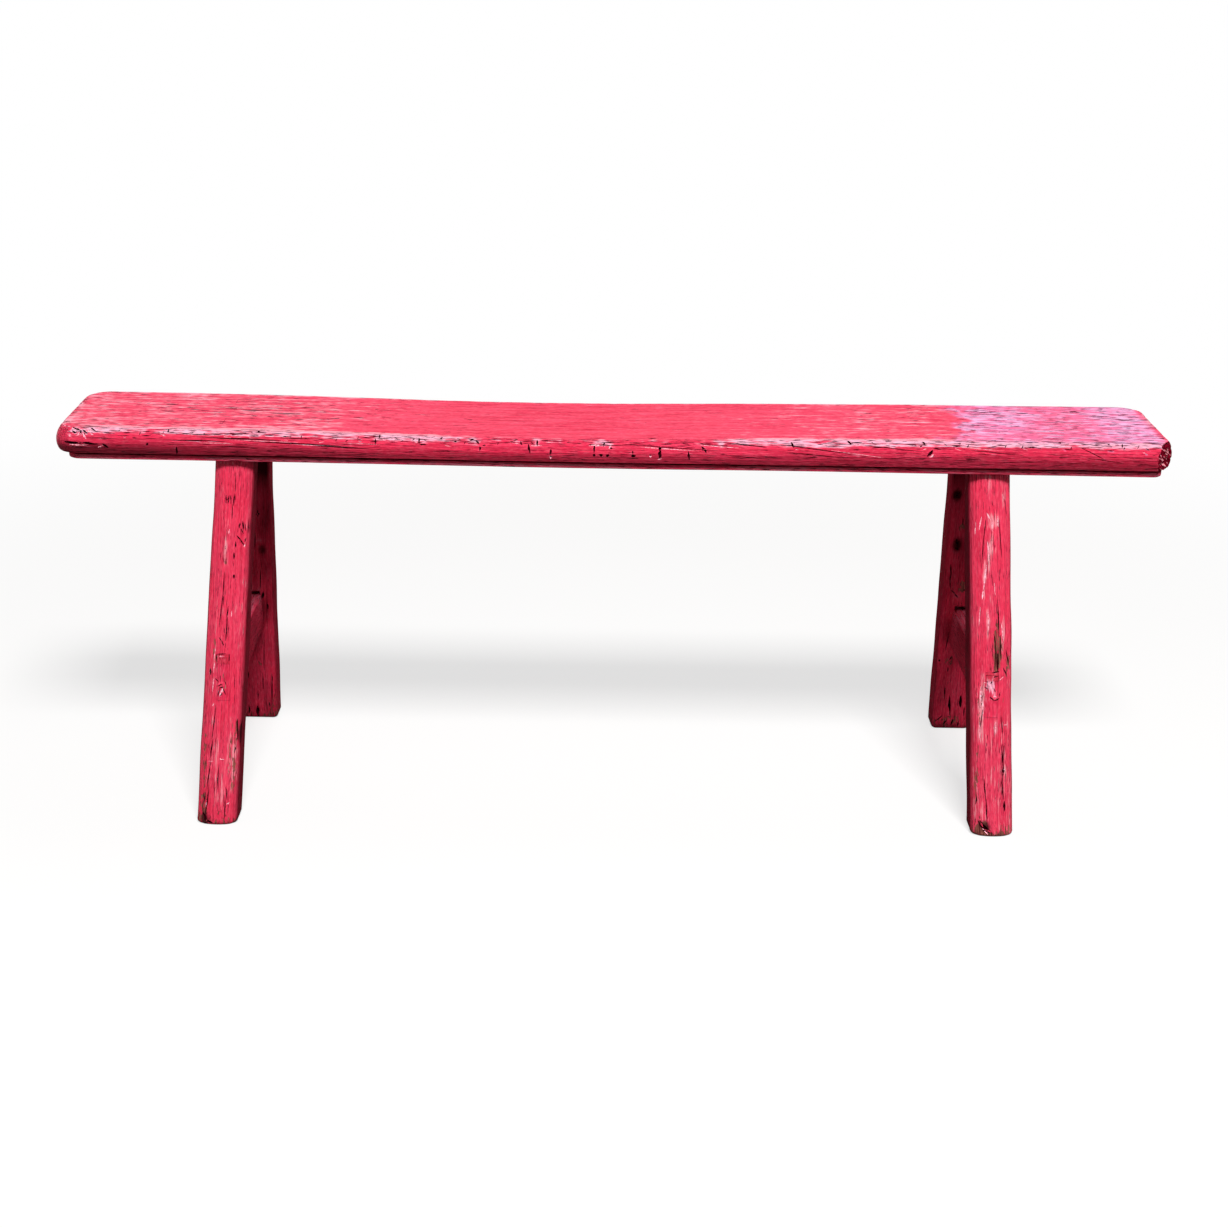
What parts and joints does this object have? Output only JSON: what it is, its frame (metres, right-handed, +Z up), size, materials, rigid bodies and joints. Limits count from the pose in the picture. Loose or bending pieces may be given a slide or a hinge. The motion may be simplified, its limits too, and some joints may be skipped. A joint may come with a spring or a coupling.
{
  "type": "plank bench",
  "caption": "Long, narrow wooden plank bench with a moulded edge, splayed legs tenoned through the seat and a wedged cross rail at each end.",
  "frame": {"origin": "on the floor, under the middle of the seat", "axes": "+X along the seat, +Y towards the back, +Z up"},
  "size_m": [1.4, 0.401, 0.492],
  "materials": {
    "red_painted_wood": "glossy red paint over hewn wood, worn and cracked",
    "red_painted_wedge_wood": "glossy red paint over split hardwood"
  },
  "bodies": {
    "root": {"seat_plank": "red_painted_wood", "front_left_leg": "red_painted_wood", "back_left_leg": "red_painted_wood", "front_right_leg": "red_painted_wood", "back_right_leg": "red_painted_wood", "left_cross_rail": "red_painted_wood", "right_cross_rail": "red_painted_wood", "front_left_leg_wedge": "red_painted_wedge_wood", "back_left_leg_wedge": "red_painted_wedge_wood", "front_right_leg_wedge": "red_painted_wedge_wood", "back_right_leg_wedge": "red_painted_wedge_wood", "front_left_rail_wedge": "red_painted_wedge_wood", "back_left_rail_wedge": "red_painted_wedge_wood", "front_right_rail_wedge": "red_painted_wedge_wood", "back_right_rail_wedge": "red_painted_wedge_wood"}
  },
  "joints": []
}
